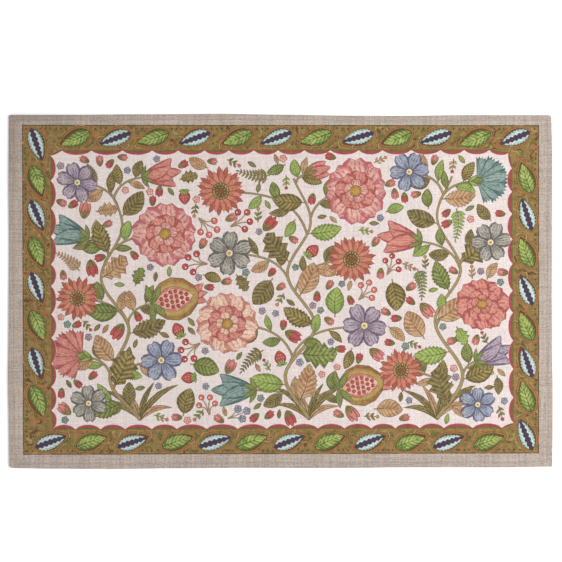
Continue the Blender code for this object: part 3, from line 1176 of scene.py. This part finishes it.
def corner_values(art, vertices, faces, owner):
    """Per corner: both colours with rim and blotch in their alphas, the pattern, the place in the motif."""
    names = list(PAINTS)
    rows = np.array([np.concatenate((dye(p[0]), dye(p[1]), p[2:])) for p in PAINTS.values()])
    paint = np.array([names.index(name) for name in art.paints] + [names.index("linen")])
    axes = np.array(art.axes + [(0, 0, 1, 0, 0, 1, 1, 1, 0, 0)], float)
    axes[:, :2] = printed(axes[:, :2])
    shape = np.where(owner < 0, len(art.paints), owner)
    row, axis = rows[paint[shape]].repeat(3, axis=0), axes[shape].repeat(3, axis=0)
    corner = vertices[np.array(faces).ravel(), :2] - axis[:, :2]
    ahead = corner[:, 0] * axis[:, 2] + corner[:, 1] * axis[:, 3]
    aside = corner[:, 1] * axis[:, 2] - corner[:, 0] * axis[:, 3]
    length, width, fullness, blunt, bend, tone = axis[:, 4:].T
    real = length > 0
    share = np.where(real, ahead / np.where(real, length, 1), 0.5)
    held = np.clip(share, 0.0, 1.0)
    half = width / 2 * np.sin(np.pi * held**fullness).clip(0) ** blunt
    across = (aside - bend * length * 4 * held * (1 - held)) / np.maximum(half, 0.12 * width)
    across = np.where(real, np.clip(across, -1.3, 1.3), 0.0)
    plain = np.repeat(owner == -1, 3)
    # On the plain linen the share is painted shade along the hem and a painted falloff of light towards the
    # upper left.
    share = np.where(plain, painted_hem_shade(vertices[np.array(faces).ravel()]), share)
    first = np.column_stack((row[:, 0:3], row[:, 9]))
    second = np.column_stack((row[:, 3:6], row[:, 10]))
    return first, second, row[:, 6:9], np.column_stack((share, across, tone))


def painted_hem_shade(places):
    """How dark the linen is drawn, all of it painted shade: darkest in the stitched groove, a little on the
    hem outside the stitching, where it has three layers, and a painted falloff of light towards the upper
    left corner."""
    move_x, move_y = stray(places[:, 0], places[:, 1])
    inset = np.minimum(WIDTH / 2 - np.abs(places[:, 0] - move_x), DEPTH / 2 - np.abs(places[:, 1] - move_y))
    # Painted shade in the groove and on the hem, and a painted falloff of light towards the upper left
    # corner.
    groove = np.exp(-((inset - STITCH_LINE) / 0.9) ** 2)
    from_corner = np.hypot(places[:, 0] + WIDTH / 2, places[:, 1] - DEPTH / 2)
    hem = 0.12 * smooth((STITCH_LINE - inset) / 1.5)
    return 0.35 + 0.2 * groove + hem + 0.22 * smooth(1 - from_corner / 125)


def make_cloth(art):
    """The mat's mesh, with what its material reads."""
    vertices, faces, owner = cloth_skin(art)
    first, second, pattern, place = corner_values(art, vertices, faces, owner)
    mesh = bpy.data.meshes.new("printed_mat")
    mesh.from_pydata([tuple(v) for v in (vertices * MM).tolist()], [], faces)
    for name, values in (("first", first), ("second", second)):
        layer = mesh.color_attributes.new(name, "FLOAT_COLOR", "CORNER")
        layer.data.foreach_set("color", values.ravel())
    for name, values in (("pattern", pattern), ("place", place)):
        layer = mesh.attributes.new(name, "FLOAT_VECTOR", "CORNER")
        layer.data.foreach_set("vector", values.ravel())
    mesh.polygons.foreach_set("material_index", np.maximum(-owner, 0).astype(np.int32))
    mesh.shade_smooth()
    mesh.update()
    cloth = bpy.data.objects.new("printed_mat", mesh)
    bpy.context.scene.collection.objects.link(cloth)
    return cloth


# Sewing

STITCH_LENGTH, STITCH_GAP, THREAD = 2.5, 0.6, 0.42


def stitch_places():
    """Middle and heading of every stitch along the four sides."""
    half_x, half_y = WIDTH / 2 - STITCH_LINE, DEPTH / 2 - STITCH_LINE
    corners = [(-half_x, -half_y), (half_x, -half_y), (half_x, half_y), (-half_x, half_y)]
    pitch = STITCH_LENGTH + STITCH_GAP
    for number in range(4):
        first, last = np.array(corners[number]), np.array(corners[(number + 1) % 4])
        count = int(np.linalg.norm(last - first) / pitch)
        for step in range(count):
            middle = first + (last - first) * (step + 0.5) / count
            yield middle, number * 90 + wobble.uniform(-3, 3)


def make_stitches():
    """Topstitching on the front and on the back, each stitch a short bowed bead of thread."""
    turns = np.linspace(0, 2 * np.pi, 6, endpoint=False)
    shares = np.array((-1.0, -0.82, -0.35, 0.35, 0.82, 1.0))
    girths = np.array((0.1, 0.75, 1.0, 1.0, 0.75, 0.1)) * THREAD / 2
    vertices, faces = [], []
    for middle, degrees in stitch_places():
        move_x, move_y = stray(middle[0], middle[1])
        front = float(front_height(middle[0], middle[1], STITCH_LINE)) + 0.02
        cos, sin = math.cos(math.radians(degrees)), math.sin(math.radians(degrees))
        for level, bow in ((front, 0.14), (0.12, -0.04)):
            start = len(vertices)
            for share, girth in zip(shares, girths):
                ahead = share * STITCH_LENGTH / 2
                rise = level + bow * (1 - share * share) - 0.12 * (bow > 0)
                for turn in turns:
                    aside, up = girth * math.cos(turn), girth * math.sin(turn)
                    x = middle[0] + move_x + ahead * cos - aside * sin
                    y = middle[1] + move_y + ahead * sin + aside * cos
                    vertices.append((x * MM, y * MM, (rise + up) * MM))
            for level_number in range(len(shares) - 1):
                for i in range(6):
                    a, b = start + level_number * 6 + i, start + level_number * 6 + (i + 1) % 6
                    faces.append((a, b, b + 6, a + 6))
            faces.append(tuple(start + i for i in range(5, -1, -1)))
            faces.append(tuple(start + 30 + i for i in range(6)))
    mesh = bpy.data.meshes.new("hem_stitching")
    mesh.from_pydata(vertices, [], faces)
    mesh.shade_smooth()
    stitches = bpy.data.objects.new("hem_stitching", mesh)
    bpy.context.scene.collection.objects.link(stitches)
    return stitches


# Materials

class Tree:
    """A material's nodes, made and joined in short form."""

    def __init__(self, name):
        self.material = bpy.data.materials.new(name)
        self.material.use_nodes = True
        self.nodes, self.links = self.material.node_tree.nodes, self.material.node_tree.links
        self.shader = self.nodes["Principled BSDF"]

    def put(self, value, socket):
        """Gives a socket a value, or joins an output to it."""
        if isinstance(value, bpy.types.NodeSocket):
            self.links.new(value, socket)
        else:
            socket.default_value = value

    def math(self, operation, *values, clamp=False):
        node = self.nodes.new("ShaderNodeMath")
        node.operation, node.use_clamp = operation, clamp
        for value, socket in zip(values, node.inputs):
            self.put(value, socket)
        return node.outputs[0]

    def ease(self, value, low, high):
        """0 below low, 1 above high, smooth between."""
        node = self.nodes.new("ShaderNodeMapRange")
        node.interpolation_type = "SMOOTHSTEP"
        for number, item in enumerate((value, low, high, 0.0, 1.0)):
            self.put(item, node.inputs[number])
        return node.outputs[0]

    def mix(self, factor, first, second, kind="MIX"):
        node = self.nodes.new("ShaderNodeMix")
        node.data_type, node.blend_type = "RGBA", kind
        self.put(factor, node.inputs[0])
        self.put(first, node.inputs[6])
        self.put(second, node.inputs[7])
        return node.outputs[2]

    def attribute(self, name):
        node = self.nodes.new("ShaderNodeAttribute")
        node.attribute_name = name
        return node.outputs

    def split(self, vector):
        node = self.nodes.new("ShaderNodeSeparateXYZ")
        self.put(vector, node.inputs[0])
        return node.outputs

    def noise(self, scales, detail=2.0, roughness=0.5):
        """Noise over the object's place, with so many cells to a metre along x, y and z."""
        place = self.nodes.new("ShaderNodeTexCoord").outputs["Object"]
        stretch = self.nodes.new("ShaderNodeMapping")
        stretch.inputs["Scale"].default_value = scales
        self.links.new(place, stretch.inputs["Vector"])
        node = self.nodes.new("ShaderNodeTexNoise")
        node.inputs["Scale"].default_value = 1.0
        node.inputs["Detail"].default_value = detail
        node.inputs["Roughness"].default_value = roughness
        self.links.new(stretch.outputs[0], node.inputs["Vector"])
        return node.outputs["Fac"]


# The linen's thread count.
THREADS_TO_A_METRE = 1500


def weave(tree):
    """Plain weave with uneven threads: the height of its threads, and how thick they run (slubs)."""
    place = tree.split(tree.nodes.new("ShaderNodeTexCoord").outputs["Object"])
    waver_x = tree.math("MULTIPLY", tree.noise((260, 9, 0)), 2.6)
    waver_y = tree.math("MULTIPLY", tree.noise((9, 260, 0)), 2.6)
    along_x = tree.math("MULTIPLY_ADD", place[0], math.pi * THREADS_TO_A_METRE, waver_x)
    along_y = tree.math("MULTIPLY_ADD", place[1], math.pi * THREADS_TO_A_METRE, waver_y)
    sine_x, sine_y = tree.math("SINE", along_x), tree.math("SINE", along_y)
    over = tree.math("GREATER_THAN", tree.math("MULTIPLY", sine_x, sine_y), 0.0)
    warp = tree.math("ABSOLUTE", sine_x)
    weft = tree.math("ABSOLUTE", sine_y)
    part = tree.math("MULTIPLY", tree.math("SUBTRACT", warp, weft), over)
    threads = tree.math("ADD", weft, part)
    slub_x = tree.noise((34, 950, 0), detail=1.0)
    slub_y = tree.noise((950, 34, 0), detail=1.0)
    slubs = tree.math("ADD", tree.ease(slub_x, 0.52, 0.78), tree.ease(slub_y, 0.52, 0.78))
    return threads, slubs


def woven(tree, colour, contrast, lift):
    """Finishes a cloth: its colour over the weave with painted shade between the threads, matt roughness and
    a bump of threads and slubs.
    """
    threads, slubs = weave(tree)
    fleck = tree.noise((460, 880, 0), detail=2.0)
    strands = tree.math("ADD", tree.noise((22, 820, 0), detail=1.0), tree.noise((820, 22, 0), detail=1.0))
    # Painted shade of the weave: lighter on the threads' crowns, darker in the gaps between them; slubs,
    # flecks and strands are the yarn's own tone.
    shade = tree.math("MULTIPLY_ADD", threads, 0.16 * contrast, 1.0 - 0.09 * contrast)
    shade = tree.math("MULTIPLY_ADD", slubs, -0.10 * contrast, shade)
    shade = tree.math("MULTIPLY_ADD", tree.math("SUBTRACT", fleck, 0.5), 1.0 * contrast, shade)
    shade = tree.math("MULTIPLY_ADD", tree.math("SUBTRACT", strands, 1.0), 0.45 * contrast, shade)
    toned = tree.mix(1.0, colour, grey(tree, shade), kind="MULTIPLY")
    tree.put(toned, tree.shader.inputs["Base Color"])
    rough = tree.math("MULTIPLY_ADD", threads, -0.08, 0.93)
    tree.put(rough, tree.shader.inputs["Roughness"])
    height = tree.math("MULTIPLY_ADD", slubs, 0.45, threads)
    bump = tree.nodes.new("ShaderNodeBump")
    bump.inputs["Strength"].default_value = 0.6
    bump.inputs["Distance"].default_value = lift
    tree.put(height, bump.inputs["Height"])
    tree.put(bump.outputs[0], tree.shader.inputs["Normal"])
    tree.shader.inputs["Sheen Weight"].default_value = 0.12
    tree.shader.inputs["Sheen Roughness"].default_value = 0.6
    tree.shader.inputs["Specular IOR Level"].default_value = 0.25
    return tree.material


def grey(tree, value):
    """A single value as a colour."""
    node = tree.nodes.new("ShaderNodeCombineColor")
    for socket in node.inputs:
        tree.put(value, socket)
    return node.outputs[0]


def print_material(name, contrast):
    """Ink on linen: two colours a motif, brought in by gradient, streaks, veins, rim and blotches."""
    tree = Tree(name)
    first, second = tree.attribute("first"), tree.attribute("second")
    pattern = tree.split(tree.attribute("pattern")["Vector"])
    place = tree.split(tree.attribute("place")["Vector"])
    share, across, tone = place[0], place[1], place[2]
    apart = tree.math("ABSOLUTE", across)

    to_tip = tree.math("MAXIMUM", pattern[0], 0.0)
    to_base = tree.math("MAXIMUM", tree.math("MULTIPLY", pattern[0], -1.0), 0.0)
    near_tip = tree.ease(share, 0.35, 1.0)
    near_base = tree.math("SUBTRACT", 1.0, tree.ease(share, 0.0, 0.62))
    amount = tree.math("MULTIPLY", to_tip, near_tip)
    amount = tree.math("MULTIPLY_ADD", to_base, near_base, amount)

    lines = tree.math("MULTIPLY_ADD", tone, 0.6, tree.math("MULTIPLY", across, 2 * math.pi * 2.4))
    lines = tree.math("POWER", tree.math("MULTIPLY_ADD", tree.math("COSINE", lines), 0.5, 0.5), 2.5)
    broken = tree.ease(tree.noise((420, 420, 0)), 0.34, 0.62)
    lines = tree.math("MULTIPLY", lines, broken)
    amount = tree.math("MULTIPLY_ADD", pattern[1], lines, amount)

    slant = tree.math("MULTIPLY_ADD", apart, -0.22, share)
    veins = tree.math("COSINE", tree.math("MULTIPLY", slant, 2 * math.pi * 7.0))
    veins = tree.math("POWER", tree.math("MULTIPLY_ADD", veins, 0.5, 0.5), 2.2)
    amount = tree.math("MULTIPLY_ADD", pattern[2], veins, amount)

    edge = tree.ease(apart, 0.5, 1.0)
    amount = tree.math("MULTIPLY_ADD", first["Alpha"], edge, amount)
    cloud = tree.math("SUBTRACT", tree.noise((190, 190, 0), detail=4.0, roughness=0.65), 0.44)
    amount = tree.math("MULTIPLY_ADD", tree.math("MULTIPLY", second["Alpha"], 2.2), cloud, amount)
    amount = tree.math("ADD", amount, 0.0, clamp=True)

    colour = tree.mix(amount, first["Color"], second["Color"])
    wash = tree.noise((60, 60, 0), detail=2.0)
    wash = tree.math("MULTIPLY_ADD", tree.math("SUBTRACT", wash, 0.5), 0.12, 1.0)
    wash = tree.math("MULTIPLY_ADD", tone, 0.035, wash)
    colour = tree.mix(1.0, colour, grey(tree, wash), kind="MULTIPLY")
    return woven(tree, colour, contrast, lift=0.00012)


def back_material():
    """The unprinted side: plain linen in which the band and the field show through faintly."""
    tree = Tree("linen back")
    place = tree.split(tree.nodes.new("ShaderNodeTexCoord").outputs["Object"])
    beside = tree.math("ABSOLUTE", place[0])
    above = tree.math("ABSOLUTE", place[1])
    in_print = tree.math("MULTIPLY", tree.ease(beside, 0.2425, 0.2410), tree.ease(above, 0.1550, 0.1535))
    in_field = tree.math("MULTIPLY", tree.ease(beside, 0.2145, 0.2125), tree.ease(above, 0.1295, 0.1270))
    linen = tree.mix(tree.noise((300, 300, 0), detail=3.0), opaque(178, 163, 151), opaque(166, 151, 139))
    band = tree.mix(tree.noise((120, 120, 0), detail=3.0), opaque(166, 151, 130), opaque(155, 140, 118))
    blush = tree.ease(tree.noise((52, 52, 0), detail=2.0), 0.54, 0.66)
    field = tree.mix(blush, opaque(183, 169, 158), opaque(177, 161, 149))
    colour = tree.mix(in_print, linen, tree.mix(in_field, band, field))
    return woven(tree, colour, contrast=1.0, lift=0.00012)


def thread_material():
    """Pale sewing thread with its twist."""
    tree = Tree("sewing thread")
    twist = tree.noise((2600, 2600, 2600), detail=1.0)
    colour = tree.mix(twist, opaque(186, 172, 160), opaque(158, 144, 132))
    tree.put(colour, tree.shader.inputs["Base Color"])
    tree.put(tree.math("MULTIPLY_ADD", twist, 0.15, 0.7), tree.shader.inputs["Roughness"])
    bump = tree.nodes.new("ShaderNodeBump")
    bump.inputs["Strength"].default_value = 0.5
    bump.inputs["Distance"].default_value = 0.00005
    tree.put(twist, bump.inputs["Height"])
    tree.put(bump.outputs[0], tree.shader.inputs["Normal"])
    return tree.material


# Camera, floor and lights

# The photo's frame: lens, how high the camera is, and where its middle lies on the mat.
LENS, CAMERA_HEIGHT = 100.0, 1.4606
AIM_X, AIM_Y = 0.00044, 0.00977
FLOOR_LEVEL = -0.0002


def make_camera():
    """A camera straight above the mat, with the mat's far edge at the top of the frame."""
    data = bpy.data.cameras.new("camera")
    data.lens = LENS
    camera = bpy.data.objects.new("camera", data)
    camera.location = (AIM_X, AIM_Y, CAMERA_HEIGHT)
    bpy.context.scene.collection.objects.link(camera)
    bpy.context.scene.camera = camera


def make_floor():
    """A white table top, wide enough for every view."""
    mesh = bpy.data.meshes.new("floor")
    mesh.from_pydata([(-4, -4, 0), (4, -4, 0), (4, 4, 0), (-4, 4, 0)], [], [(0, 1, 2, 3)])
    floor = bpy.data.objects.new("floor", mesh)
    floor.location.z = FLOOR_LEVEL
    bpy.context.scene.collection.objects.link(floor)
    material = bpy.data.materials.new("white floor")
    material.use_nodes = True
    material.node_tree.nodes["Principled BSDF"].inputs["Base Color"].default_value = (0.96, 0.96, 0.96, 1)
    material.node_tree.nodes["Principled BSDF"].inputs["Roughness"].default_value = 0.9
    mesh.materials.append(material)


# Lamps. Columns: name, place, size across, watts.
LAMPS = [
    ("key", (0.72, 0.05, 0.95), 0.7, 14.0),
    ("low left", (-0.95, -0.55, 0.34), 0.5, 4.0),
]
SKY = 0.52


def make_lights():
    """Soft even light, a little stronger from the right, with a low one that shows the hem."""
    world = bpy.data.worlds.new("sky")
    world.use_nodes = True
    world.node_tree.nodes["Background"].inputs["Color"].default_value = (1, 1, 1, 1)
    world.node_tree.nodes["Background"].inputs["Strength"].default_value = SKY
    bpy.context.scene.world = world
    for name, place, size, watts in LAMPS:
        data = bpy.data.lights.new(name, "AREA")
        data.size, data.energy = size, watts
        lamp = bpy.data.objects.new(name, data)
        lamp.location = place
        lamp.rotation_euler = (-Vector(place)).to_track_quat("-Z", "Y").to_euler()
        bpy.context.scene.collection.objects.link(lamp)
    bpy.context.scene.view_settings.view_transform = "Standard"


def main():
    make_camera()
    make_floor()
    make_lights()
    cloth = make_cloth(make_drawing())
    cloth.data.materials.append(print_material("printed linen", 0.62))
    cloth.data.materials.append(print_material("plain linen", 1.2))
    cloth.data.materials.append(back_material())
    stitches = make_stitches()
    stitches.data.materials.append(thread_material())
    for piece in (cloth, stitches):
        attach(piece, "root")
    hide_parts("mat")


main()
